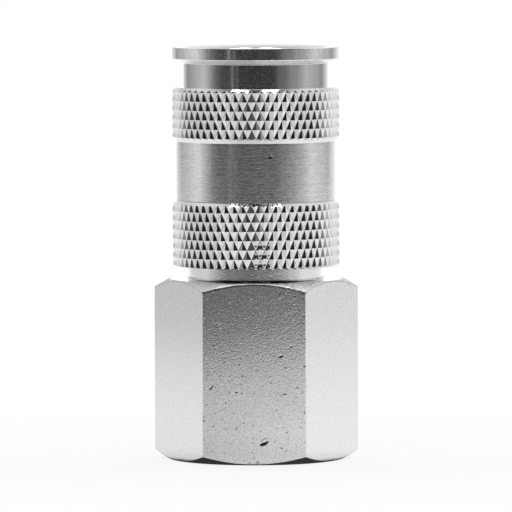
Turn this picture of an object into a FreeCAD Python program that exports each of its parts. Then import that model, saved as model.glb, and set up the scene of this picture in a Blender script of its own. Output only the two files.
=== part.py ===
import FreeCAD
import Part
import math
import os

# Quick coupling socket for compressed air, standing on its hexagon.
# +Z runs along the axis towards the mouth that takes the plug; Z = 0 is the hexagon's end face.
# All sizes are millimetres, and a round size is a diameter unless its name says radius.

# Fits, as radial or axial clearances
slide_clearance = 0.05          # sleeve on the nose, and ball in its hole
neck_clearance = 0.10           # sleeve's skirt over the neck
thread_clearance = 0.05         # nose in the neck, drawn without the thread's turns
seat_clearance = 0.05           # between faces that come to rest on each other
spring_clearance = 0.16         # each side of the sleeve spring's wire

# Pipe port and hexagon
port_thread_minor = 18.63       # crests of the female 1/2 inch pipe thread
port_thread_major = 20.955      # roots of the same thread
port_wall = 1.5225              # metal from the thread's roots to each flat
port_depth = 15.5
port_lip = 0.10                 # how far the port's entry chamfer opens past the thread's roots
hex_length = 24.5
hex_chamfer_angle = 30.0        # from the end face
hex_chamfer_inset = 0.12        # chamfer circle inside the flats
web_thickness = 2.0             # wall between the port and the valve chamber
web_bore = 9.4
neck_height = 6.5               # plain neck above the hexagon
neck_foot_radius = 0.45

# Plug passage in the nose
plug_bore = 12.1                # where the balls lock
mouth_bore = 12.5               # guide in front of the balls
mouth_length = 5.2
mouth_chamfer = 0.85
tip_bore = 10.2                 # takes the plug's tip and guides the poppet
tip_bore_length = 6.0
ball_depth = 8.3                # nose's front face to the plane of the balls
ball_to_seal = 3.9              # plane of the balls to the plug seal's groove
nose_inset = 0.4                # nose's front face behind the sleeve's front face
nose_edge = 0.3

# Locking balls and the sleeve's ramp
ball_count = 10
ball_diameter = 3.0
ball_bite = 0.92                # how far a locked ball stands into the plug bore
ramp_angle = 30.0               # from the axis
sleeve_travel = 1.7
sleeve_stop_gap = 0.1           # left between sleeve and hexagon when it is pulled right back
land_length = 3.2               # cylinder that holds the balls in
recess_clearance = 0.2

# Valve
seal_wire = 2.0                 # plug seal
seal_squeeze = 0.22             # plug seal's hole inside the tip bore, on the radius
seal_side_room = 0.4
valve_chamber = 13.6
shank_wall = 1.15               # nose's shank round the valve chamber
body_seal_thickness = 1.0
poppet_wall = 1.34
poppet_setback = 0.8            # poppet's rim behind the plug seal's groove
poppet_rim = 2.0
poppet_window_width = 4.0
poppet_seal_wire = 1.0
poppet_flange = 1.5
poppet_flange_step = 0.65       # flange outside the poppet's tube, on the radius
poppet_boss = 8.6
poppet_boss_height = 2.5
poppet_floor = 1.6
valve_spring_wire = 0.8
valve_spring_turns = 6.5
valve_spring_room = 0.45        # between the poppet's boss and the spring, on the radius

# Snap ring
snap_wire = 1.2
snap_inset = 1.4                # nose's front face to the middle of the wire
snap_gap_angle = 24.0

# Sleeve spring
sleeve_spring_wire = 0.9
sleeve_spring_turns = 6.5

# Sleeve, lengths from the rear end to the front
lower_band_length = 8.84
waist_length = 8.06
upper_band_length = 7.36
groove_length = 3.31
rim_taper = 0.46
rim_length = 1.67
sleeve_wall = 1.42              # waist outside the spring chamber
knurl_height = 0.58             # knurl's points outside the waist
knurl_depth = 0.30
knurl_row = 1.25                # axial distance between rows of points
knurl_points = 59               # points around one row
lower_knurl_lead = 1.03         # chamfer at the sleeve's rear end to the first row of points
upper_knurl_lead = 0.44         # waist's chamfer to the upper band's first row of points
band_end_step = 0.05            # chamfers' circle inside the knurl's roots
front_chamfer = 0.20            # upper band's edge above the finger groove
skirt_chamfer = 0.33            # lower band's edge at the sleeve's rear end
groove_wall = 1.62              # groove outside the sleeve's front lip
edge_break = 0.15

# Radii from the plug bore outwards
ball_radius = ball_diameter / 2
ball_seat_radius = plug_bore / 2 - ball_bite + ball_radius
land_radius = ball_seat_radius + ball_radius + slide_clearance
nose_radius = land_radius - slide_clearance
chamber_radius = nose_radius + sleeve_spring_wire + 2 * spring_clearance
neck_radius = chamber_radius - neck_clearance
waist_radius = chamber_radius + sleeve_wall
knurl_radius = waist_radius + knurl_height
knurl_root_radius = knurl_radius - knurl_depth
band_end_radius = knurl_root_radius - band_end_step
waist_chamfer = band_end_radius - waist_radius
groove_radius = land_radius + groove_wall
rim_radius = knurl_radius
ramp_slope = math.tan(math.radians(ramp_angle))
ball_travel = sleeve_travel * ramp_slope
recess_radius = land_radius + ball_travel
hex_half = port_thread_major / 2 + port_wall
valve_radius = valve_chamber / 2
shank_radius = valve_radius + shank_wall
joint_radius = shank_radius + thread_clearance
tip_radius = tip_bore / 2
poppet_radius = tip_radius - slide_clearance

# Heights
web_top = port_depth + web_thickness
neck_top = hex_length + neck_height
sleeve_rear = hex_length + sleeve_stop_gap + sleeve_travel
lower_band_top = sleeve_rear + lower_band_length
upper_band_base = lower_band_top + waist_length
upper_band_top = upper_band_base + upper_band_length
groove_top = upper_band_top + groove_length
rim_base = groove_top + rim_taper
sleeve_front = rim_base + rim_length
nose_front = sleeve_front - nose_inset
nose_rear = web_top + body_seal_thickness
ball_height = nose_front - ball_depth
land_front = ball_height - (ball_radius + slide_clearance) * math.tan(math.radians(ramp_angle / 2))
land_rear = land_front - land_length
ramp_front = land_front + ball_travel / ramp_slope
recess_front = ball_height + ball_radius + sleeve_travel + recess_clearance
snap_height = nose_front - snap_inset
snap_stop = snap_height - snap_wire / 2 - seat_clearance
mouth_end = nose_front - mouth_length
seal_groove_front = ball_height - ball_to_seal
seal_groove_rear = seal_groove_front - seal_wire - seal_side_room
valve_seat = seal_groove_rear - tip_bore_length
poppet_front = seal_groove_rear - poppet_setback
poppet_seal_height = valve_seat - seat_clearance - poppet_seal_wire / 2
poppet_flange_top = poppet_seal_height - poppet_seal_wire / 2
poppet_flange_base = poppet_flange_top - poppet_flange
poppet_boss_end = poppet_flange_base - poppet_boss_height


def ring_point(radius, turn, height):
    return FreeCAD.Vector(radius * math.cos(turn), radius * math.sin(turn), height)


def axial_wire(outline, closed):
    corners = [FreeCAD.Vector(radius, 0, height) for radius, height in outline]
    if closed:
        corners.append(corners[0])
    return Part.makePolygon(corners)


def turned(outline):
    """Solid of revolution about Z from a closed outline of (radius, height) corners."""
    face = Part.Face(axial_wire(outline, True))
    return face.revolve(FreeCAD.Vector(0, 0, 0), FreeCAD.Vector(0, 0, 1), 360)


def turned_skin(outline):
    """Faces of revolution about Z from an open outline of (radius, height) corners."""
    skin = axial_wire(outline, False).revolve(FreeCAD.Vector(0, 0, 0), FreeCAD.Vector(0, 0, 1), 360)
    return skin.Faces


def wire_ring(mean_radius, wire, height, sweep=360):
    axis = FreeCAD.Vector(0, 0, 1)
    return Part.makeTorus(mean_radius, wire / 2, FreeCAD.Vector(0, 0, height), axis, 0, 360, sweep)


def coil(mean_radius, wire, base, top, turns):
    """Coil spring with flat ends: half rings, each tilted to climb its share, whose ends meet square to Y."""
    halves = int(2 * turns)
    lowest = base + wire / 2
    climb = (top - base - wire) / (halves - 2)
    heights = [lowest] + [lowest + climb * step for step in range(halves - 1)] + [top - wire / 2]
    start = FreeCAD.Vector(mean_radius, 0, lowest)
    end_face = Part.Face(Part.Wire([Part.makeCircle(wire / 2, start, FreeCAD.Vector(0, 1, 0))]))
    skin = [end_face]
    side = 1
    for low, high in zip(heights, heights[1:]):
        middle = FreeCAD.Vector(0, 0, (low + high) / 2)
        axis = FreeCAD.Vector(side * (high - low) / 2, 0, mean_radius)
        half = end_face.revolve(middle, axis, 180)
        flats = [face for face in half.Faces if face.Surface.TypeId == "Part::GeomPlane"]
        skin += [face for face in half.Faces if face.Surface.TypeId != "Part::GeomPlane"]
        end_face = min(flats, key=lambda face: face.CenterOfMass.x * side)
        side = -side
    skin.append(end_face)
    return sewn_solid(skin)


def sewn_solid(faces):
    skin = Part.makeCompound(faces)
    skin.sewShape()
    return Part.Solid(skin.Shells[0])


def triangle(a, b, c):
    return Part.Face(Part.makePolygon([a, b, c, a]))


def knurl_line(height, shift):
    """Points and roots in turn around one row; shift picks which comes first."""
    line = []
    for step in range(2 * knurl_points):
        radius = knurl_radius if (step + shift) % 2 == 0 else knurl_root_radius
        line.append(ring_point(radius, math.pi * step / knurl_points, height))
    return line


def knurl_end(height):
    """Many-sided line at the depth of the roots, where the facets run out."""
    turns = [math.pi * step / knurl_points for step in range(2 * knurl_points)]
    return [ring_point(knurl_root_radius, turn, height) for turn in turns]


def knurl_strip(below, above, root_first):
    """Facets between two lines; each cell is split from root to root."""
    facets = []
    count = len(below)
    for step in range(count):
        after = (step + 1) % count
        if (step % 2 == 0) == root_first:
            facets.append(triangle(below[step], below[after], above[after]))
            facets.append(triangle(below[step], above[after], above[step]))
        else:
            facets.append(triangle(below[step], below[after], above[step]))
            facets.append(triangle(below[after], above[after], above[step]))
    return facets


def band_cap(height):
    """Narrow flat ring from the band's many-sided end to the chamfer's circle inside it."""
    corners = knurl_end(height)
    rim = Part.makePolygon(corners + [corners[0]])
    hole = Part.Wire([Part.makeCircle(band_end_radius, FreeCAD.Vector(0, 0, height))])
    return Part.Face(Part.makeCompound([rim, hole]).Wires, "Part::FaceMakerBullseye")


def knurl_band(base, top, lead, shift):
    """Diamond knurl between two chamfers: rows of four-sided points that run out at both ends.

    Shift turns the whole pattern by half a point, as each band is rolled by itself."""
    first = base + lead
    rows = int((top - first) / knurl_row)
    lines = [knurl_line(first + row * knurl_row, row + shift) for row in range(rows + 1)]
    facets = knurl_strip(knurl_end(base), lines[0], shift % 2 == 1)
    for row in range(rows):
        facets += knurl_strip(lines[row], lines[row + 1], (row + shift) % 2 == 1)
    facets += knurl_strip(lines[rows], knurl_end(top), (rows + shift) % 2 == 1)
    facets.append(band_cap(base))
    facets.append(band_cap(top))
    return facets


def make_hex_body():
    corner = hex_half / math.cos(math.radians(30))
    corners = [ring_point(corner, math.radians(60 * side), 0) for side in range(7)]
    bar = Part.Face(Part.makePolygon(corners)).extrude(FreeCAD.Vector(0, 0, neck_top))
    rise = math.tan(math.radians(hex_chamfer_angle))
    chamfer_radius = hex_half - hex_chamfer_inset
    reach = corner + 1
    chamfer_height = (reach - chamfer_radius) * rise
    port_radius = port_thread_minor / 2
    entry_radius = port_thread_major / 2 + port_lip
    turned_form = turned([
        (entry_radius, 0),
        (chamfer_radius, 0),
        (reach, chamfer_height),
        (reach, hex_length - chamfer_height),
        (chamfer_radius, hex_length),
        (neck_radius, hex_length),
        (neck_radius, neck_top),
        (joint_radius, neck_top),
        (joint_radius, web_top),
        (web_bore / 2, web_top),
        (web_bore / 2, port_depth),
        (port_radius, port_depth),
        (port_radius, entry_radius - port_radius),
    ])
    body = bar.common(turned_form).Solids[0]
    foot = [
        edge for edge in body.Edges
        if abs(edge.BoundBox.ZMin - hex_length) < 1e-6
        and abs(edge.BoundBox.ZMax - hex_length) < 1e-6
        and abs(edge.BoundBox.XMax - neck_radius) < 1e-6
    ]
    return body.makeFillet(neck_foot_radius, foot).Solids[0]


def make_nose_body():
    groove_floor = nose_radius - snap_wire / 2 - seat_clearance
    groove_half = snap_wire / 2 + seat_clearance
    seal_groove_radius = tip_radius - seal_squeeze + seal_wire + seat_clearance
    mouth_radius = mouth_bore / 2
    body = turned([
        (mouth_radius + mouth_chamfer, nose_front),
        (nose_radius - nose_edge, nose_front),
        (nose_radius, nose_front - nose_edge),
        (nose_radius, snap_height + groove_half),
        (groove_floor, snap_height + groove_half),
        (groove_floor, snap_height - groove_half),
        (nose_radius, snap_height - groove_half),
        (nose_radius, neck_top + seat_clearance),
        (shank_radius, neck_top + seat_clearance),
        (shank_radius, nose_rear),
        (valve_radius, nose_rear),
        (valve_radius, valve_seat),
        (tip_radius, valve_seat),
        (tip_radius, seal_groove_rear),
        (seal_groove_radius, seal_groove_rear),
        (seal_groove_radius, seal_groove_front),
        (plug_bore / 2, seal_groove_front),
        (plug_bore / 2, mouth_end),
        (mouth_radius, mouth_end),
        (mouth_radius, nose_front - mouth_chamfer),
    ])
    hole_radius = ball_radius + slide_clearance
    centre = FreeCAD.Vector(ball_seat_radius, 0, ball_height)
    drill = Part.makeCylinder(hole_radius, nose_radius, centre, FreeCAD.Vector(1, 0, 0))
    drill = drill.fuse(Part.makeSphere(hole_radius, centre))
    holes = []
    for turn in ball_turns():
        hole = drill.copy()
        hole.rotate(FreeCAD.Vector(0, 0, 0), FreeCAD.Vector(0, 0, 1), turn)
        holes.append(hole)
    return body.cut(holes).Solids[0]


def ball_turns():
    return [360 * (number + 0.5) / ball_count for number in range(ball_count)]


def make_ball(turn):
    centre = ring_point(ball_seat_radius, math.radians(turn), ball_height)
    return Part.makeSphere(ball_radius, centre)


def make_sleeve():
    faces = turned_skin([
        (band_end_radius, sleeve_rear + skirt_chamfer),
        (band_end_radius - skirt_chamfer, sleeve_rear),
        (chamber_radius + edge_break, sleeve_rear),
        (chamber_radius, sleeve_rear + edge_break),
        (chamber_radius, land_rear),
        (land_radius, land_rear),
        (land_radius, land_front),
        (recess_radius, ramp_front),
        (recess_radius, recess_front),
        (land_radius, recess_front),
        (land_radius, snap_stop),
        (recess_radius, snap_stop),
        (recess_radius, sleeve_front - nose_edge),
        (recess_radius + nose_edge, sleeve_front),
        (rim_radius - edge_break, sleeve_front),
        (rim_radius, sleeve_front - edge_break),
        (rim_radius, rim_base + edge_break),
        (rim_radius - edge_break, rim_base),
        (groove_radius, groove_top),
        (groove_radius, upper_band_top),
        (band_end_radius - front_chamfer, upper_band_top),
        (band_end_radius, upper_band_top - front_chamfer),
    ])
    faces += turned_skin([
        (band_end_radius, upper_band_base + waist_chamfer),
        (waist_radius, upper_band_base),
        (waist_radius, lower_band_top),
        (band_end_radius, lower_band_top - waist_chamfer),
    ])
    lower_ends = (sleeve_rear + skirt_chamfer, lower_band_top - waist_chamfer)
    upper_ends = (upper_band_base + waist_chamfer, upper_band_top - front_chamfer)
    faces += knurl_band(*lower_ends, lower_knurl_lead, 1)
    faces += knurl_band(*upper_ends, upper_knurl_lead, 0)
    return sewn_solid(faces)


def make_poppet():
    boss_radius = poppet_boss / 2
    bore_radius = poppet_radius - poppet_wall
    flange_radius = poppet_radius + poppet_flange_step
    bore_floor = poppet_flange_base + poppet_floor
    body = turned([
        (bore_radius, poppet_front),
        (poppet_radius, poppet_front),
        (poppet_radius, poppet_flange_top),
        (flange_radius, poppet_flange_top),
        (flange_radius, poppet_flange_base),
        (boss_radius, poppet_flange_base),
        (boss_radius, poppet_boss_end),
        (0, poppet_boss_end),
        (0, bore_floor),
        (bore_radius, bore_floor),
    ])
    window_height = poppet_front - poppet_rim - valve_seat
    reach = 2 * flange_radius
    corner = FreeCAD.Vector(-reach / 2, -poppet_window_width / 2, valve_seat)
    slot = Part.makeBox(reach, poppet_window_width, window_height, corner)
    cross_slot = slot.copy()
    cross_slot.rotate(FreeCAD.Vector(0, 0, 0), FreeCAD.Vector(0, 0, 1), 90)
    return body.cut([slot, cross_slot]).Solids[0]


def make_valve_spring():
    mean_radius = poppet_boss / 2 + valve_spring_room + valve_spring_wire / 2
    base = web_top + seat_clearance
    top = poppet_flange_base - seat_clearance
    return coil(mean_radius, valve_spring_wire, base, top, valve_spring_turns)


def make_sleeve_spring():
    mean_radius = nose_radius + spring_clearance + sleeve_spring_wire / 2
    base = neck_top + seat_clearance
    top = land_rear - seat_clearance
    return coil(mean_radius, sleeve_spring_wire, base, top, sleeve_spring_turns)


def make_body_seal():
    return turned([
        (valve_radius, web_top),
        (shank_radius, web_top),
        (shank_radius, nose_rear),
        (valve_radius, nose_rear),
    ])


def make_plug_seal():
    mean_radius = tip_radius - seal_squeeze + seal_wire / 2
    return wire_ring(mean_radius, seal_wire, (seal_groove_front + seal_groove_rear) / 2)


def make_poppet_seal():
    mean_radius = poppet_radius + poppet_seal_wire / 2
    return wire_ring(mean_radius, poppet_seal_wire, poppet_seal_height)


def make_snap_ring():
    ring = wire_ring(nose_radius, snap_wire, snap_height, 360 - snap_gap_angle)
    ring.rotate(FreeCAD.Vector(0, 0, 0), FreeCAD.Vector(0, 0, 1), snap_gap_angle / 2 - 45)
    return ring


pieces = {
    "hex_body": make_hex_body(),
    "nose_body": make_nose_body(),
    "sleeve": make_sleeve(),
    "sleeve_spring": make_sleeve_spring(),
    "snap_ring": make_snap_ring(),
    "plug_seal": make_plug_seal(),
    "body_seal": make_body_seal(),
    "poppet": make_poppet(),
    "poppet_seal": make_poppet_seal(),
    "valve_spring": make_valve_spring(),
}
for number, turn in enumerate(ball_turns(), 1):
    pieces["locking_ball_%d" % number] = make_ball(turn)

os.makedirs("parts", exist_ok=True)
for name, shape in pieces.items():
    shape.exportStep("parts/%s.step" % name)
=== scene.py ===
import bpy
import math
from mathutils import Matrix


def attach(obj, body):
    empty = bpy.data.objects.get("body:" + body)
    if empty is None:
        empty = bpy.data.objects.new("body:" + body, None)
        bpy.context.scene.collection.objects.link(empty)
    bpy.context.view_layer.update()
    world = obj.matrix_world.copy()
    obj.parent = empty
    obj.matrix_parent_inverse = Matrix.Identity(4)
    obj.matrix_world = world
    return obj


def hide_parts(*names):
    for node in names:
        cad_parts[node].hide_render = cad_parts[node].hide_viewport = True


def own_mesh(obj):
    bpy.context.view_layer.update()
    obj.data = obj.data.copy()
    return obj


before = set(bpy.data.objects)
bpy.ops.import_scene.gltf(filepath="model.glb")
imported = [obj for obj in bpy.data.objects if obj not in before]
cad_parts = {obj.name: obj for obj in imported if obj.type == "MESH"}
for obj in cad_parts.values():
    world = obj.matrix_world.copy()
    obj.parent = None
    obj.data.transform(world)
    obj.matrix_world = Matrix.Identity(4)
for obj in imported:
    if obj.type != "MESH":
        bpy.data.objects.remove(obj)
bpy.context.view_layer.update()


# Hexagon body: brass hexagon bar, chamfered at both ends, with a turned neck on top and a pipe
# thread tapped into its lower end, plated with satin nickel. The nose screws into the neck, so this
# piece carries all the others. Its front flat is scratched, pitted and dented from use.
mm = 0.001
hexagon_half = 12.0
hexagon_corner = hexagon_half / math.cos(math.radians(30))
hexagon_height = 24.5
hexagon_steps = 192
chamfer_circle = 11.88
chamfer_rise = math.tan(math.radians(30))
neck_radius = 9.25
neck_top = 31.0
neck_rounding = 0.25
joint_radius = 8.0
web_top = 17.5
web_bore = 4.7
port_depth = 15.5
port_mouth = 10.58
port_root = 10.48
port_crest = 9.315
port_pitch = 1.814
thread_start = 0.35
thread_turns = 7
# Near-black colour for dark marks and for painted shade.
soil_and_shade = (0.05, 0.05, 0.05)


def draw_outline(name, corners):
    """Starts a piece as one point and extrudes it from corner to corner (radius and height in mm)."""
    bpy.ops.object.select_all(action="DESELECT")
    bpy.ops.mesh.primitive_plane_add(size=mm)
    piece = bpy.context.object
    piece.name = name
    piece.data.name = name
    bpy.ops.object.mode_set(mode="EDIT")
    bpy.ops.mesh.select_mode(type="VERT")
    bpy.ops.mesh.select_all(action="SELECT")
    bpy.ops.mesh.merge(type="CENTER")
    bpy.ops.transform.translate(value=(corners[0][0] * mm, 0, corners[0][1] * mm))
    for before, after in zip(corners, corners[1:]):
        step = ((after[0] - before[0]) * mm, 0, (after[1] - before[1]) * mm)
        bpy.ops.mesh.extrude_vertices_move(TRANSFORM_OT_translate={"value": step})
    bpy.ops.mesh.select_all(action="SELECT")
    bpy.ops.mesh.remove_doubles(threshold=1e-6)
    return piece


def close_skin():
    """Merges the seam and the poles, caps open ends and turns every face outwards."""
    bpy.ops.mesh.select_all(action="SELECT")
    bpy.ops.mesh.remove_doubles(threshold=1e-6)
    bpy.ops.mesh.fill_holes(sides=0)
    bpy.ops.mesh.select_all(action="SELECT")
    bpy.ops.mesh.normals_make_consistent(inside=False)
    bpy.ops.object.mode_set(mode="OBJECT")


def turn(name, corners, steps, sweep=360.0):
    """Turns an outline about the axis, as on a lathe."""
    piece = draw_outline(name, corners)
    bpy.ops.mesh.spin(steps=steps, angle=math.radians(sweep), center=(0, 0, 0), axis=(0, 0, 1))
    close_skin()
    return piece


def arc(radius, height, size, start, end, count):
    """Corners of a rounding about a centre; angles run from outwards to upwards."""
    angles = [math.radians(start + (end - start) * number / count) for number in range(count + 1)]
    return [(radius + size * math.cos(angle), height + size * math.sin(angle)) for angle in angles]


def pick(piece):
    """Makes a piece the only one that is selected."""
    bpy.ops.object.select_all(action="DESELECT")
    piece.select_set(True)
    bpy.context.view_layer.objects.active = piece


def position(piece, move=(0, 0, 0), turned=(0, 0, 0), scale=(1, 1, 1)):
    """Scales, turns (in degrees) and moves a piece, and works that into its mesh."""
    pick(piece)
    piece.scale = scale
    piece.rotation_euler = [math.radians(angle) for angle in turned]
    piece.location = [length * mm for length in move]
    bpy.ops.object.transform_apply(location=True, rotation=True, scale=True)


def apply_modifier(piece, kind, **settings):
    """Adds a modifier with its settings and works it into the mesh."""
    modifier = piece.modifiers.new(kind, kind)
    for name, value in settings.items():
        setattr(modifier, name, value)
    pick(piece)
    bpy.ops.object.modifier_apply(modifier=modifier.name)


def machine(piece, cutter, operation):
    """Cuts a piece with another one, which is used up."""
    apply_modifier(piece, "BOOLEAN", operation=operation, solver="EXACT", object=cutter)
    bpy.data.objects.remove(cutter)


def ease_edges(piece, width, segments, angle):
    """Rounds every edge that is sharper than an angle."""
    apply_modifier(
        piece, "BEVEL", width=width * mm, segments=segments, limit_method="ANGLE",
        angle_limit=math.radians(angle), use_clamp_overlap=True, harden_normals=False,
    )


def settle(piece, material, angle):
    """Smooths the turned faces, keeps real edges sharp and gives the piece its finish."""
    pick(piece)
    bpy.ops.object.transform_apply(location=True, rotation=True, scale=True)
    bpy.ops.object.shade_smooth_by_angle(angle=math.radians(angle))
    apply_modifier(piece, "WEIGHTED_NORMAL", mode="FACE_AREA", weight=100, keep_sharp=True)
    piece.data.materials.clear()
    piece.data.materials.append(material)


class Wire:
    """One socket in a finish; arithmetic on it adds Math nodes."""

    def __init__(self, socket):
        self.socket = socket

    def node(self, kind, settings, sockets, output=0):
        """Adds a node to the same finish: its settings first, then its sockets' values or links."""
        tree = self.socket.id_data
        made = tree.nodes.new(kind)
        for name, value in settings.items():
            if name == "stops":
                ramp = made.color_ramp.elements
                while len(ramp) < len(value):
                    ramp.new(0.5)
                for stop, (along, shade) in zip(ramp, sorted(value)):
                    stop.position = along
                    stop.color = (shade, shade, shade, 1)
            else:
                setattr(made, name, value)
        for name, value in sockets.items():
            if isinstance(value, Wire):
                tree.links.new(value.socket, made.inputs[name])
            else:
                made.inputs[name].default_value = value
        return Wire(made.outputs[output])

    def side(self, output):
        """Another output of the same node."""
        return Wire(self.socket.node.outputs[output])

    def calc(self, operation, first, second=0.0):
        return self.node("ShaderNodeMath", {"operation": operation}, {0: first, 1: second})

    def __add__(self, other):
        return self.calc("ADD", self, other)

    def __radd__(self, other):
        return self.calc("ADD", other, self)

    def __sub__(self, other):
        return self.calc("SUBTRACT", self, other)

    def __rsub__(self, other):
        return self.calc("SUBTRACT", other, self)

    def __mul__(self, other):
        return self.calc("MULTIPLY", self, other)

    def __rmul__(self, other):
        return self.calc("MULTIPLY", other, self)

    def __truediv__(self, other):
        return self.calc("DIVIDE", self, other)

    def __lt__(self, other):
        return self.calc("LESS_THAN", self, other)

    def __gt__(self, other):
        return self.calc("GREATER_THAN", self, other)

    def off_axis(self):
        """Distance from the upright axis, for a place that is split into X, Y and Z."""
        return self.calc("SQRT", self * self + self.side("Y") * self.side("Y"))

    def step(self, low, high):
        """0 below low, 1 above high, smooth between them."""
        return self.node(
            "ShaderNodeMapRange", {"interpolation_type": "SMOOTHSTEP"},
            {"Value": self, "From Min": low, "From Max": high, "To Min": 0.0, "To Max": 1.0},
        )

    def between(self, low, full, still_full, high):
        """0 below low and above high, 1 from full to still_full, smooth between them."""
        return self.step(low, full) * (1.0 - self.step(still_full, high))

    def noise(self, scale, detail, stretch=(1, 1, 1)):
        """Noise on a place, stretched along an axis where its share is below 1."""
        spread = self.node(
            "ShaderNodeMapping", {"vector_type": "POINT"}, {"Vector": self, "Scale": stretch},
        )
        return self.node(
            "ShaderNodeTexNoise", {"noise_dimensions": "3D"},
            {"Vector": spread, "Scale": scale, "Detail": detail, "Roughness": 0.55},
        )

    def marks(self, scale, stretch, turned, size, share):
        """Short scratches: 1 in a mark, 0 beside it; share is how many cells have one."""
        spread = self.node(
            "ShaderNodeMapping", {"vector_type": "TEXTURE"},
            {"Vector": self, "Rotation": turned, "Scale": stretch},
        )
        cells = self.node(
            "ShaderNodeTexVoronoi", {"feature": "F1"}, {"Vector": spread, "Scale": scale},
        )
        chance = self.node("ShaderNodeSeparateColor", {}, {"Color": cells.side("Color")})
        return (1.0 - cells.step(size * 0.3, size)) * (chance < share)

    def emboss(self, strength, distance):
        """A surface direction that follows this value as a height."""
        return self.node(
            "ShaderNodeBump", {}, {"Strength": strength, "Distance": distance, "Height": self},
        )

    def shade(self, low, high):
        """A colour between two, by this value."""
        ends = [end if isinstance(end, Wire) else (*end, 1) for end in (low, high)]
        return self.node(
            "ShaderNodeMix", {"data_type": "RGBA"}, {0: self, 6: ends[0], 7: ends[1]}, output=2,
        )

    def feed(self, socket):
        self.socket.id_data.links.new(self.socket, socket)


def new_finish(name, **constants):
    """Starts a material: gives it, its shader and the place on the piece in metres."""
    material = bpy.data.materials.new(name)
    material.use_nodes = True
    shader = material.node_tree.nodes["Principled BSDF"]
    for socket, value in constants.items():
        shader.inputs[socket].default_value = value
    place = Wire(material.node_tree.nodes.new("ShaderNodeTexCoord").outputs["Object"])
    return material, shader, place


satin_nickel, shader, place = new_finish("satin_nickel", Metallic=1.0)
axes = place.node("ShaderNodeSeparateXYZ", {}, {"Vector": place})
rise = axes.side("Z")
radius = axes.off_axis()
front = axes.side("Y") < -0.0118
upper = rise.step(0.011, 0.017)
grain = place.noise(4300.0, 4.0)
speckle = place.noise(5600.0, 1.0)
blotch = place.noise(420.0, 3.0)
tool_lines = place.noise(3600.0, 1.0, (1, 1, 0.1))
scratches = place.marks(1900.0, (2.8, 1, 1), (0, -0.5, 0), 0.19, 0.45)
scratches = scratches + place.marks(2200.0, (2.4, 1, 1), (0, 0.8, 0.3), 0.19, 0.45)
scratches = scratches * (front * 0.7 + 0.2)
pits = place.marks(900.0, (1.6, 1, 1), (0, -0.5, 0.2), 0.105, 0.8)
pits = pits + place.marks(2000.0, (2, 1, 1), (0, -0.4, 0.2), 0.13, 0.5) * 0.45
pits = pits * (front * 0.65 + 0.15)
nicks = place.marks(1900.0, (2, 1, 1), (0, 0.3, 0), 0.24, 0.8)
nicks = nicks * radius.step(0.01342, 0.01362) * (front * 0.8 + 0.2)
height = grain * 0.55 + speckle * 0.35 - scratches * (upper * 1.8 + 0.8)
height = height - (pits + nicks * 0.6) * 0.8
height.emboss(0.30, 0.00004).feed(shader.inputs["Normal"])
cone = rise + (radius - chamfer_circle * mm) * chamfer_rise
chamfered = cone.step(0.0243, 0.0245) * (radius > 0.0117)
dull = blotch * 0.02 + chamfered * 0.34 + scratches * 0.22 + rise.step(0.0246, 0.0252) * 0.05
(dull + 0.06).feed(shader.inputs["Roughness"])
# Painted light and shade: the side flats are coloured lighter to the right and darker towards the
# top, the front flat darker on its left and lighter on its right, and the neck lighter.
neck = rise.step(0.0246, 0.0250)
sides = axes.step(-0.006, 0.006) * 0.20 + 0.18 - rise.step(0.003, 0.020) * 0.28
tone = front * (axes.step(-0.012, 0.012) * 0.29 - 0.15) + (1.0 - front) * sides + neck * 0.42
# Painted highlight: scratches on the upper part of the flats are coloured lighter, as glints.
tone = tone + speckle.step(0.3, 0.7) * (front * 0.3 + 0.4) + scratches * upper * 0.6
tone = tone + (tool_lines.step(0.35, 0.65) * 0.5 - 0.5) * chamfered + grain.step(0.2, 0.8) * 0.1
plating = (tone + 0.15).shade((0.55, 0.545, 0.53), (0.88, 0.875, 0.86))
burr = cone.between(0.02418, 0.0243, 0.02444, 0.0245) * grain.step(0.36, 0.50) * front
# Painted shade in the inside corner at the neck's foot, near the middle of the front and back. It is
# mixed with the dark pits, nicks, burrs and darker lower scratches into one near-black colour.
inside_corner = rise.between(0.0242, 0.0244, 0.02455, 0.0247) * (1.0 - radius.step(0.0115, 0.0118))
neck_corner_shade = inside_corner * (1.0 - (axes * axes).step(0.00002, 0.00008)) * 0.75
marks_and_shade = neck_corner_shade + scratches * (1.0 - upper) * 0.2 + pits * 1.5 + nicks * 0.9 + burr * 0.8
marks_and_shade = marks_and_shade.calc("MINIMUM", marks_and_shade, 1.0)
marks_and_shade.shade(plating, soil_and_shade).feed(shader.inputs["Base Color"])

reach = hexagon_corner + 1.0
chamfer_height = (reach - chamfer_circle) * chamfer_rise
foot_radius = neck_radius + neck_rounding
foot_height = hexagon_height + neck_rounding
foot = [
    (foot_radius - neck_rounding * math.sin(angle), foot_height - neck_rounding * math.cos(angle))
    for angle in (0.0, 0.4, 0.8, 1.2, math.pi / 2)
]
hex_body = turn("hex_body_shape", [
    (port_mouth, 0.0),
    (chamfer_circle, 0.0),
    (reach, chamfer_height),
    (reach, hexagon_height - chamfer_height),
    (chamfer_circle, hexagon_height),
    *foot,
    (neck_radius, neck_top),
    (joint_radius, neck_top),
    (joint_radius, web_top),
    (web_bore, web_top),
    (web_bore, port_depth),
    (port_crest, port_depth),
    (port_crest, port_depth - 0.9),
    (port_root, port_depth - 1.9),
    (port_root, 0.1),
    (port_mouth, 0.0),
], hexagon_steps)
position(hex_body, turned=(0, 0, 180 / hexagon_steps))
bpy.ops.object.select_all(action="DESELECT")
bpy.ops.mesh.primitive_cylinder_add(vertices=6, radius=hexagon_corner * mm, depth=0.1)
bar = bpy.context.object
position(bar, turned=(0, 0, 30))
machine(hex_body, bar, "INTERSECT")
ease_edges(hex_body, 0.11, 2, 24)


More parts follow.
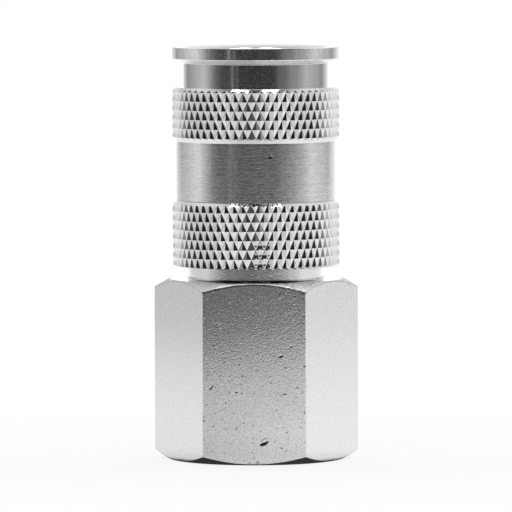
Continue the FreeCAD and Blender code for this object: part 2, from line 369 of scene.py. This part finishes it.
def press_dent(piece, face, across, up, length, width, depth, slope):
    """Presses a long hollow, rising to the right, into a front that is so far from the axis."""
    punch = turn("dent_punch", arc(0, 0, 1.25, -90, 90, 12), 28)
    position(
        punch, move=(across, -(face + depth * 0.78), up), turned=(-10, -slope, 0),
        scale=(length, depth, width),
    )
    machine(piece, punch, "DIFFERENCE")


for across, up, length, width, depth, slope in (
    (1.34, 3.10, 0.74, 0.46, 0.34, 34),
    (3.61, 14.72, 0.40, 0.26, 0.12, 24),
    (-5.72, 10.60, 0.48, 0.18, 0.09, 62),
    (-2.38, 9.90, 0.20, 0.20, 0.10, 10),
    (4.12, 9.66, 0.26, 0.20, 0.10, -5),
    (5.00, 16.04, 0.22, 0.20, 0.10, 30),
):
    press_dent(hex_body, hexagon_half, across, up, length, width, depth, slope)

ridge_foot = port_root + 0.04
ridge_crest = port_crest + 0.02
ridge = draw_outline("pipe_thread", [
    (ridge_foot, thread_start),
    (ridge_crest, thread_start + 0.68),
    (ridge_crest, thread_start + 0.94),
    (ridge_foot, thread_start + 1.62),
    (ridge_foot, thread_start),
])
bpy.ops.object.mode_set(mode="OBJECT")
apply_modifier(
    ridge, "SCREW", axis="Z", angle=math.tau, screw_offset=port_pitch * mm,
    iterations=thread_turns, steps=96, render_steps=96,
)
bpy.ops.object.mode_set(mode="EDIT")
close_skin()
pick(hex_body)
ridge.select_set(True)
bpy.ops.object.join()
settle(hex_body, satin_nickel, 22)
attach(hex_body, "housing")
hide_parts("hex_body")


# Body seal: flat black rubber ring squeezed between the nose's rear end and the web inside the
# hexagon body. It is punched from sheet and lies in the bottom of the joint's bore.
body_seal_bore = 6.8
body_seal_radius = 7.95
body_seal_top = 18.5

black_rubber, shader, place = new_finish("black_rubber")
dust = place.noise(2600.0, 4.0)
skin = place.noise(9000.0, 2.0)
skin.emboss(0.25, 0.00003).feed(shader.inputs["Normal"])
(dust * 0.2 + 0.45).feed(shader.inputs["Roughness"])
dust.shade((0.012, 0.012, 0.013), (0.035, 0.034, 0.033)).feed(shader.inputs["Base Color"])

body_seal = turn("body_seal_shape", [
    (body_seal_bore, web_top),
    (body_seal_radius, web_top),
    (body_seal_radius, body_seal_top),
    (body_seal_bore, body_seal_top),
    (body_seal_bore, web_top),
], 96)
ease_edges(body_seal, 0.08, 2, 30)
settle(body_seal, black_rubber, 35)
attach(body_seal, "housing")
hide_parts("body_seal")


# Nose: turned brass tube that takes the plug, screwed into the neck. Ten radial holes hold the
# locking balls, a groove near the front holds the snap ring and one inside holds the plug seal.
nose_radius = 8.13
nose_front = 55.6
nose_shoulder = 31.05
mouth_radius = 7.1
mouth_depth = 0.85
mouth_bore = 6.25
mouth_floor = 50.4
plug_bore = 6.05
seal_groove = 6.93
seal_groove_top = 43.4
seal_groove_floor = 41.0
seat_bore = 5.1
seat_height = 35.0
snap_height = 54.2
snap_groove = 7.48
snap_groove_half = 0.65
ball_height = 47.3
ball_seat = 6.63
ball_radius = 1.5
ball_play = 0.05
ball_turns = [36 * (number + 0.5) for number in range(10)]

turned_nickel, shader, place = new_finish("turned_nickel", Metallic=1.0)
axes = place.node("ShaderNodeSeparateXYZ", {}, {"Vector": place})
cut = place.node("ShaderNodeCombineXYZ", {}, {"X": axes.off_axis(), "Y": 0.0, "Z": axes.side("Z")})
fine_lines = cut.noise(9000.0, 1.0)
feed_lines = cut.noise(2600.0, 2.0)
breaks = place.noise(1800.0, 2.0)
height = fine_lines * 0.6 + feed_lines * 0.6 + breaks * 0.25
height.emboss(0.22, 0.00003).feed(shader.inputs["Normal"])
(feed_lines * 0.08 + breaks * 0.05 + 0.10).feed(shader.inputs["Roughness"])
plating = (feed_lines * 0.6 + breaks * 0.4).shade((0.68, 0.675, 0.66), (0.78, 0.775, 0.765))
plating.feed(shader.inputs["Base Color"])

nose_body = turn("nose_body_shape", [
    (mouth_radius, nose_front),
    (nose_radius - 0.3, nose_front),
    (nose_radius, nose_front - 0.3),
    (nose_radius, snap_height + snap_groove_half),
    (snap_groove, snap_height + snap_groove_half),
    (snap_groove, snap_height - snap_groove_half),
    (nose_radius, snap_height - snap_groove_half),
    (nose_radius, nose_shoulder),
    (body_seal_radius, nose_shoulder),
    (body_seal_radius, body_seal_top),
    (body_seal_bore, body_seal_top),
    (body_seal_bore, seat_height),
    (seat_bore, seat_height),
    (seat_bore, seal_groove_floor),
    (seal_groove, seal_groove_floor),
    (seal_groove, seal_groove_top),
    (plug_bore, seal_groove_top),
    (plug_bore, mouth_floor),
    (mouth_bore, mouth_floor),
    (mouth_bore, nose_front - mouth_depth),
    (mouth_radius, nose_front),
], 160)


def copy_turned(piece, turned):
    """Copies a piece and turns the copy about the axis."""
    pick(piece)
    bpy.ops.object.duplicate()
    copied = bpy.context.object
    position(copied, turned=(0, 0, turned))
    return copied


hole = ball_radius + ball_play
drill = turn("ball_drill", arc(0, 0, hole, -90, 0, 8) + [(hole, 4.0), (0.0, 4.0)], 32)
position(drill, move=(ball_seat, 0, ball_height), turned=(0, 90, 0))
drills = [copy_turned(drill, turned) for turned in ball_turns]
bpy.data.objects.remove(drill)
pick(drills[0])
for other in drills[1:]:
    other.select_set(True)
bpy.ops.object.join()
machine(nose_body, drills[0], "DIFFERENCE")
ease_edges(nose_body, 0.05, 1, 32)
settle(nose_body, turned_nickel, 28)
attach(nose_body, "housing")
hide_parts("nose_body")


# Plug seal: moulded rubber ring of round section in the nose's inner groove. It stands a little
# into the bore and seals on the plug's tip.
section = arc(radius=5.88, height=42.2, size=1.0, start=0, end=360, count=28)
plug_seal = turn("plug_seal_shape", section, 120)
settle(plug_seal, black_rubber, 60)
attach(plug_seal, "housing")
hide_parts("plug_seal")


# Poppet: turned brass shut-off valve that slides in the nose. Two crossed slots let the air past
# when the plug's tip pushes it back; its flange carries the seal and its boss guides the spring.
poppet_front = 40.2
poppet_tube = 5.05
poppet_bore = 3.71
poppet_floor = 34.05
flange_radius = 5.70
flange_top = 33.95
flange_bottom = 32.45
boss_radius = 4.3
boss_bottom = 29.95
window_height = 36.6
window_size = (12 * mm, 4 * mm, 3.2 * mm)

bare_brass, shader, place = new_finish("bare_brass", Metallic=1.0)
axes = place.node("ShaderNodeSeparateXYZ", {}, {"Vector": place})
cut = place.node("ShaderNodeCombineXYZ", {}, {"X": axes.off_axis(), "Y": 0.0, "Z": axes.side("Z")})
lines = cut.noise(5200.0, 2.0)
tarnish = place.noise(700.0, 3.0)
lines.emboss(0.2, 0.00003).feed(shader.inputs["Normal"])
(lines * 0.1 + tarnish * 0.12 + 0.18).feed(shader.inputs["Roughness"])
tarnish.shade((0.60, 0.42, 0.17), (0.80, 0.62, 0.30)).feed(shader.inputs["Base Color"])

poppet = turn("poppet_shape", [
    (poppet_bore, poppet_front),
    (poppet_tube, poppet_front),
    (poppet_tube, flange_top),
    (flange_radius, flange_top),
    (flange_radius, flange_bottom),
    (boss_radius, flange_bottom),
    (boss_radius, boss_bottom),
    (0.0, boss_bottom),
    (0.0, poppet_floor),
    (poppet_bore, poppet_floor),
    (poppet_bore, poppet_front),
], 96)
for turned in (0, 90):
    bpy.ops.object.select_all(action="DESELECT")
    bpy.ops.mesh.primitive_cube_add(size=1.0)
    window = bpy.context.object
    position(window, move=(0, 0, window_height), turned=(0, 0, turned), scale=window_size)
    machine(poppet, window, "DIFFERENCE")
ease_edges(poppet, 0.08, 2, 30)
settle(poppet, bare_brass, 30)
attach(poppet, "valve")
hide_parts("poppet")


# Poppet seal: small rubber ring that sits on the poppet's flange and closes on the nose's seat.
# It is moulded and stretched over the poppet's tube.
section = arc(radius=5.55, height=34.45, size=0.5, start=0, end=360, count=20)
poppet_seal = turn("poppet_seal_shape", section, 96)
settle(poppet_seal, black_rubber, 60)
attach(poppet_seal, "valve")
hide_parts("poppet_seal")


# Valve spring: coil of spring wire between the web and the poppet's flange, with both ends laid
# flat. It shortens towards the web as the poppet is pushed in.
spring_steel, shader, place = new_finish("spring_steel", Metallic=1.0)
drawn = place.noise(3800.0, 3.0)
smut = place.noise(600.0, 3.0)
drawn.emboss(0.2, 0.00002).feed(shader.inputs["Normal"])
(drawn * 0.15 + 0.24).feed(shader.inputs["Roughness"])
smut.shade((0.42, 0.42, 0.41), (0.62, 0.615, 0.60)).feed(shader.inputs["Base Color"])


def coil(name, mean_radius, wire, base, top, turns):
    """Spins a wire's end face through half rings, each tilted to climb its share."""
    halves = int(2 * turns)
    lowest = base + wire / 2
    climb = (top - base - wire) / (halves - 2)
    heights = [lowest] + [lowest + climb * step for step in range(halves - 1)] + [top - wire / 2]
    piece = draw_outline(name, arc(mean_radius, lowest, wire / 2, 0, 360, 14))
    side = 1
    for low, high in zip(heights, heights[1:]):
        tilt = math.atan2(side * (high - low) / 2, mean_radius)
        bpy.ops.mesh.spin(
            steps=26, angle=math.pi, center=(0, 0, (low + high) / 2 * mm),
            axis=(math.sin(tilt), 0, math.cos(tilt)),
        )
        side = -side
    close_skin()
    return piece


valve_spring = coil(
    "valve_spring_shape", mean_radius=5.15, wire=0.8, base=17.55, top=32.40, turns=6.5,
)
settle(valve_spring, spring_steel, 60)
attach(valve_spring, "housing")
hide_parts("valve_spring")
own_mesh(valve_spring)


# Locking balls: ten hardened and polished steel balls in the nose's radial holes. The sleeve's
# land holds them in the plug's groove until its ramp is drawn back over them.
ball_steel, shader, place = new_finish("ball_steel", Metallic=1.0)
haze = place.noise(2400.0, 3.0)
(haze * 0.08 + 0.06).feed(shader.inputs["Roughness"])
haze.shade((0.56, 0.56, 0.56), (0.66, 0.66, 0.655)).feed(shader.inputs["Base Color"])

ball = turn("locking_ball_shape", arc(0, 0, ball_radius, -90, 90, 24), 40)
position(ball, move=(ball_seat, 0, ball_height))
for number, turned in enumerate(ball_turns, 1):
    copy = copy_turned(ball, turned)
    copy.name = f"locking_ball_shape_{number}"
    copy.data.name = copy.name
    settle(copy, ball_steel, 60)
    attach(copy, f"ball_{number}")
    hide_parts(f"locking_ball_{number}")
bpy.data.objects.remove(ball)


# Sleeve spring: coil of spring wire round the nose, from the top of the neck to the step inside
# the sleeve. It shortens towards the neck as the sleeve is drawn back.
sleeve_spring = coil(
    "sleeve_spring_shape", mean_radius=8.74, wire=0.9, base=nose_shoulder, top=43.635, turns=6.5,
)
settle(sleeve_spring, spring_steel, 60)
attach(sleeve_spring, "sleeve_carriage")
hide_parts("sleeve_spring")
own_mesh(sleeve_spring)


# Release sleeve: turned from brass bar, with a finger groove under its rim and two bands of
# diamond knurl rolled between plain chamfers. It is nickel plated and slides on the nose. A few
# points of the lower band are worn flat at the front, and the waist has one small dent.
sleeve_steps = 236
sleeve_end = 26.3
sleeve_top = 56.0
end_rounding = 0.38
knurl_points = 59
knurl_tip = 11.36
knurl_root = 11.08
band_radius = 11.345
waist_radius = 10.77
groove_radius = 9.8
groove_bottom = 50.56
rim_radius = 11.35
spring_bore = 9.35
spring_step = 43.685
guide_bore = 8.18
pocket_bore = 9.16
worn_rows = (27.03, 28.29, 29.54)
worn_turn = 4.8
scrape_radius = 1.0
scrape_width = 2.4
scrape_axis = 12.09

plated_sleeve, shader, place = new_finish("plated_sleeve", Metallic=1.0)
axes = place.node("ShaderNodeSeparateXYZ", {}, {"Vector": place})
rise = axes.side("Z")
radius = axes.off_axis()
cut = place.node("ShaderNodeCombineXYZ", {}, {"X": radius, "Y": 0.0, "Z": rise})
waist = rise.between(0.0351, 0.0353, 0.0430, 0.0433)
waist_front = waist * (1.0 - (axes * axes).step(0.00002, 0.000045))
polished = rise.step(0.0503, 0.0505)
groove = rise.step(0.0505, 0.0507) * (1.0 - radius.step(0.0099, 0.0101))
fine_lines = cut.noise(9000.0, 1.0)
feed_lines = cut.noise(2600.0, 2.0)
breaks = place.noise(2400.0, 3.0)
streaks = place.noise(7000.0, 2.0, (0.11, 0.11, 1))
dashes = place.noise(7600.0, 1.0, (0.24, 0.24, 1)) * waist_front
upright = place.noise(4200.0, 2.0, (1, 1, 0.12))
glints = place.noise(6200.0, 1.0)
specks = place.marks(1900.0, (2, 1, 1), (0, -0.3, 0), 0.16, 0.25) * (waist * 0.8 + 0.2)
height = (fine_lines * 0.6 + feed_lines * 0.6) * (waist * 0.88 + 0.12) + breaks * 0.16 - specks * 0.8
height = height + streaks * waist * 0.7 + dashes * 0.3 + (upright * 0.25 + glints * 0.35) * polished
height.emboss(0.22, 0.00003).feed(shader.inputs["Normal"])
worn = axes.between(-0.0004, -0.0001, 0.0020, 0.0023) * (axes.side("Y") < 0.0)
worn = worn * (1.0 - rise.step(0.0300, 0.0304))
dull = waist * 0.07 + feed_lines * waist * 0.05 + breaks * 0.03 + worn * 0.13
(dull + glints.step(0.5, 0.75) * polished * 0.13 + 0.055).feed(shader.inputs["Roughness"])
tone = feed_lines * 0.15 + breaks.step(0.3, 0.7) * 0.25
tone = tone + (streaks.step(0.3, 0.7) - 0.5) * waist * 0.45
# Painted shade: the waist is coloured darker where it faces front and back.
tone = tone + dashes.step(0.35, 0.65) * 0.8 - waist_front * 0.42
tone = tone + (upright.step(0.3, 0.7) + glints.step(0.35, 0.65) - 1.0) * polished * 0.4 + 0.42
plating = tone.shade((0.58, 0.575, 0.565), (0.93, 0.925, 0.915))
# Painted shade: the finger groove is coloured darker.
plating = (groove * 0.6).shade(plating, (0.48, 0.48, 0.475))
# Painted shade: a dark line in the corner at the waist's foot and a dark fill in the waist's dent,
# which share the near-black colour with the real dark specks.
waist_corner_shade = rise.between(0.03513, 0.03517, 0.03522, 0.03532) * 0.55
hollow = waist * (radius > 0.0103) * (1.0 - radius.step(0.01073, 0.010762)) * 0.9
(specks * 0.9 + waist_corner_shade + hollow).shade(plating, soil_and_shade).feed(shader.inputs["Base Color"])

sleeve = turn("sleeve_shape", [
    (9.5, sleeve_end),
    *arc(band_radius - end_rounding, sleeve_end + end_rounding, end_rounding, -90, 0, 6),
    (band_radius, 34.60),
    (waist_radius, 35.14),
    (waist_radius, 43.20),
    (11.07, 43.66),
    (band_radius, 43.92),
    (band_radius, 50.05),
    (10.86, groove_bottom),
    (groove_radius, groove_bottom),
    (groove_radius, 53.75),
    (9.83, 53.84),
    (9.92, 53.89),
    (11.2, 54.33),
    (11.31, 54.38),
    (rim_radius, 54.47),
    (rim_radius, 55.88),
    (11.31, 55.97),
    (11.22, sleeve_top),
    (10.5, sleeve_top),
    (pocket_bore, 55.62),
    (pocket_bore, 53.55),
    (guide_bore, 53.55),
    (guide_bore, 50.7),
    (pocket_bore, 50.7),
    (pocket_bore, 48.585),
    (guide_bore, 46.885),
    (guide_bore, spring_step),
    (spring_bore, spring_step),
    (spring_bore, 26.45),
    (9.5, sleeve_end),
], sleeve_steps)
position(sleeve, turned=(0, 0, 180 / sleeve_steps))


def pick_points(piece, test):
    """Selects the points whose place passes a test."""
    bpy.ops.object.mode_set(mode="EDIT")
    bpy.ops.mesh.select_mode(type="VERT")
    bpy.ops.mesh.select_all(action="DESELECT")
    bpy.ops.object.mode_set(mode="OBJECT")
    for vertex in piece.data.vertices:
        vertex.select = test(vertex.co)
    bpy.ops.object.mode_set(mode="EDIT")


def pick_edges(piece, test):
    """Selects the edges whose two ends pass a test."""
    bpy.ops.object.mode_set(mode="EDIT")
    bpy.ops.mesh.select_mode(type="EDGE")
    bpy.ops.mesh.select_all(action="DESELECT")
    bpy.ops.object.mode_set(mode="OBJECT")
    places = [vertex.co for vertex in piece.data.vertices]
    for edge in piece.data.edges:
        edge.select = test(places[edge.vertices[0]], places[edge.vertices[1]])
    bpy.ops.object.mode_set(mode="EDIT")


def knurl_die(middle, row, rows, turned, tilt):
    """Ring whose bore is the diamond pattern, to be cut out of a plain band."""
    half = row * rows / 2
    bpy.ops.object.select_all(action="DESELECT")
    bpy.ops.mesh.primitive_cylinder_add(
        vertices=2 * knurl_points, radius=knurl_root * mm, depth=2 * half * mm,
        end_fill_type="NOTHING",
    )
    die = bpy.context.object
    die.name = "knurl_die"
    pick_edges(die, lambda one, other: abs(one.z - other.z) > 0.5 * mm)
    bpy.ops.mesh.subdivide(number_cuts=rows - 1)

    def is_tip(place):
        step = round(math.atan2(place.x, -place.y) * knurl_points / math.pi)
        line = round((place.z / mm + half) / row)
        return (step + line) % 2 == 0

    pick_points(die, lambda place: not is_tip(place))
    bpy.ops.mesh.vert_connect()
    pick_points(die, is_tip)
    grow = knurl_tip / knurl_root
    bpy.ops.transform.resize(value=(grow, grow, 1), center_override=(0, 0, 0))
    for end in (-half, half):
        pick_points(die, lambda place: abs(place.z / mm - end) < 0.01)
        bpy.ops.mesh.extrude_edges_move(TRANSFORM_OT_translate={"value": (0, 0, 0)})
        bpy.ops.transform.resize(value=(1.2, 1.2, 1), center_override=(0, 0, 0))
    pick_edges(die, lambda one, other: min(one.xy.length, other.xy.length) > 12.5 * mm)
    bpy.ops.mesh.bridge_edge_loops()
    close_skin()
    position(die, move=(0, 0, middle), turned=(0, tilt, turned))
    return die


lower_die = knurl_die(middle=30.795, row=1.254, rows=9, turned=1.02, tilt=-0.6)
machine(sleeve, lower_die, "DIFFERENCE")
upper_die = knurl_die(middle=46.96, row=1.24, rows=7, turned=1.65, tilt=-0.17)
machine(sleeve, upper_die, "DIFFERENCE")
for row in worn_rows:
    bpy.ops.object.select_all(action="DESELECT")
    bpy.ops.mesh.primitive_cylinder_add(
        vertices=64, radius=scrape_radius * mm, depth=scrape_width * mm,
    )
    scrape = bpy.context.object
    position(scrape, move=(0, -scrape_axis, row), turned=(0, 90, 0))
    position(scrape, turned=(0, 0, worn_turn))
    machine(sleeve, scrape, "DIFFERENCE")
press_dent(
    sleeve, face=10.51, across=2.27, up=41.38, length=0.36, width=0.20, depth=0.075, slope=30,
)
settle(sleeve, plated_sleeve, 18)
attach(sleeve, "release_sleeve")
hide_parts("sleeve")


# Snap ring: round spring wire with a gap, sprung into the groove at the front of the nose. It
# stops the sleeve from sliding off.
snap_sweep = 336.0
snap_turn = 12 - 45
section = arc(nose_radius, snap_height, size=0.6, start=0, end=360, count=20)
snap_ring = turn("snap_ring_shape", section, 110, snap_sweep)
position(snap_ring, turned=(0, 0, snap_turn))
settle(snap_ring, spring_steel, 60)
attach(snap_ring, "housing")
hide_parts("snap_ring")


# Table: a white photo table. As the metal sees it, its glow carries painted shade: its front part is
# painted dark, which the metal's lower front shows. It takes the object's soft shadow.
bpy.ops.object.select_all(action="DESELECT")
bpy.ops.mesh.primitive_plane_add(size=1.0, location=(0, 0.05, -0.00002))
table = bpy.context.object
table.name = "table"
table.scale = (1.0, 1.3, 1.0)
bpy.ops.object.transform_apply(location=True, rotation=True, scale=True)
white_table = bpy.data.materials.new("white_table")
white_table.use_nodes = True
white_table.cycles.emission_sampling = "NONE"
tree = white_table.node_tree
tree.nodes.remove(tree.nodes["Principled BSDF"])
seen = Wire(tree.nodes.new("ShaderNodeLightPath").outputs["Is Camera Ray"])
mirrored = seen.side("Is Glossy Ray") + seen.side("Is Transmission Ray")
place = Wire(tree.nodes.new("ShaderNodeTexCoord").outputs["Object"])
axes = place.node("ShaderNodeSeparateXYZ", {}, {"Vector": place})
away = axes.off_axis()
# Painted light and shade in the glow that the metal sees: darker at the front and to both sides, a
# painted contact shadow and painted shade round the object's foot, and a painted light ring that the
# neck shows.
depth = axes.side("Y") + axes.step(-0.015, 0.015) * 0.05 - 0.025
front = depth.step(-0.228, -0.206) * 0.53 + depth.step(-0.10, -0.01) * 0.29 + 0.18
aside = axes.step(-0.34, -0.10) * 0.30 + 0.70 - axes.step(0.20, 0.34) * 0.16
contact_shadow = away.step(0.0127, 0.0157) * 0.82 + away.step(0.0157, 0.026) * 0.14 + 0.04
foot_shade = (1.0 - away.step(0.016, 0.075)) * (1.0 - axes.side("Y").step(-0.03, -0.008)) * 0.30
neck_light_ring = away.between(0.380, 0.390, 0.432, 0.442) * 0.34
level = front * aside * contact_shadow * (1.0 - foot_shade) + neck_light_ring
near = 1.0 - away.step(0.02, 0.09)
matt = seen.node("ShaderNodeBsdfDiffuse", {}, {"Color": (0.85, 0.85, 0.85, 1)})
glow = seen.node("ShaderNodeEmission", {}, {"Color": seen + (1.0 - seen) * level, "Strength": 1.0})
share = (1.0 - near * 0.14) * seen + mirrored
surface = seen.node("ShaderNodeMixShader", {}, {0: share, 1: matt, 2: glow})
surface.feed(tree.nodes["Material Output"].inputs["Surface"])
table.data.materials.append(white_table)


# Lamps: two long softboxes overhead with a gap between them, in a room that is dark in front of
# the object, has pale screens at both sides and a white backdrop behind.
def softbox(name, place, width, length, level):
    """Hangs a lamp that looks down, with the same brightness whatever its size."""
    bpy.ops.object.light_add(type="AREA", location=place)
    lamp = bpy.context.object
    lamp.name = name
    lamp.data.shape = "RECTANGLE"
    lamp.data.size = width
    lamp.data.size_y = length
    lamp.data.energy = level * math.pi * width * length


softbox("left_softbox", (-0.15, 0.05, 0.75), width=0.16, length=0.8, level=5.0)
softbox("right_softbox", (0.145, 0.05, 0.75), width=0.155, length=0.8, level=5.0)

world = bpy.data.worlds.new("studio")
bpy.context.scene.world = world
world.use_nodes = True
tree = world.node_tree
seen = Wire(tree.nodes.new("ShaderNodeLightPath").outputs["Is Camera Ray"])
place = Wire(tree.nodes.new("ShaderNodeTexCoord").outputs["Generated"])
axes = place.node("ShaderNodeSeparateXYZ", {}, {"Vector": place})
around = axes.side("Y") / axes.off_axis() * 0.5 + 0.5


def screens(levels):
    """Light round one side of the room, from straight in front to straight behind, in degrees."""
    stops = [((1 - math.cos(math.radians(angle))) / 2, shade) for angle, shade in levels]
    return around.node("ShaderNodeValToRGB", {"stops": stops}, {"Fac": around})


left = screens([
    (0, .035), (20, .035), (26, .04), (28, .18), (30, .06), (33, .07), (36, .30), (39, .08),
    (45, .06), (55, .09), (63, .17), (70, .30), (76, .46), (82, .62), (90, .80), (100, .71),
    (110, .62), (120, .54), (130, .47), (139, .38), (146, .55), (152, .70), (165, .80),
    (174, .90), (180, 1.25),
])
right = screens([
    (0, .035), (24, .035), (32, .05), (37, .13), (40, .17), (44, .17), (52, .22), (60, .34),
    (70, .37), (80, .52), (90, .71), (100, .64), (110, .58), (120, .53), (130, .39), (136, .45),
    (142, .62), (150, .80), (165, .95), (174, 1.0), (180, 1.25),
])
raised = screens([
    (0, .014), (38, .018), (48, .045), (58, .07), (66, .16), (72, .30), (80, .52), (90, .76),
    (100, .78), (120, .70), (139, .54), (150, .72), (180, .90),
])
side = axes > 0.0
rise = axes.side("Z")
lifted = rise.step(0.07, 0.20)
right_lift = around.between(0.15, 0.27, 0.36, 0.50) * side * 0.20
screen = (left * (1.0 - side) + right * side) * (1.0 - lifted)
screen = screen + (raised * (side * 0.12 + 1.0) + right_lift) * lifted
floor_glow = (1.0 - rise.step(-0.060, -0.036)) * (1.0 - around.step(0.1, 0.35)) * 0.17
ceiling = rise.step(0.42, 0.72)
upper = around.step(0.42, 0.80) * 0.80 + 0.06
radiance = screen * (1.0 - ceiling) + upper * ceiling + floor_glow
room = seen.node("ShaderNodeBackground", {}, {"Color": radiance, "Strength": 1.0})
white = seen.node("ShaderNodeBackground", {}, {"Color": (1, 1, 1, 1), "Strength": 1.0})
surface = seen.node("ShaderNodeMixShader", {}, {0: seen, 1: room, 2: white})
surface.feed(tree.nodes["World Output"].inputs["Surface"])


# Camera: a long lens a little above the object and to its right, looking at the middle of its
# height. It leans by a fraction of a degree, as the photo does.
distance = 0.85
azimuth = math.radians(1.4)
elevation = math.radians(3.5)
lean = math.radians(-0.15)
target = (-0.00001, 0.0, 0.0275)
bpy.ops.object.camera_add()
camera = bpy.context.object
camera.name = "camera"
camera.location = (
    target[0] + distance * math.sin(azimuth) * math.cos(elevation),
    target[1] - distance * math.cos(azimuth) * math.cos(elevation),
    target[2] + distance * math.sin(elevation),
)
camera.rotation_mode = "XYZ"
camera.rotation_euler = (math.radians(90) - elevation, 0, azimuth)
camera.rotation_euler.rotate_axis("Z", lean)
camera.data.sensor_width = 36.0
camera.data.lens = 439.0
camera.data.clip_start = 0.05
camera.data.clip_end = 20.0
bpy.context.scene.camera = camera
bpy.context.scene.view_settings.view_transform = "Standard"
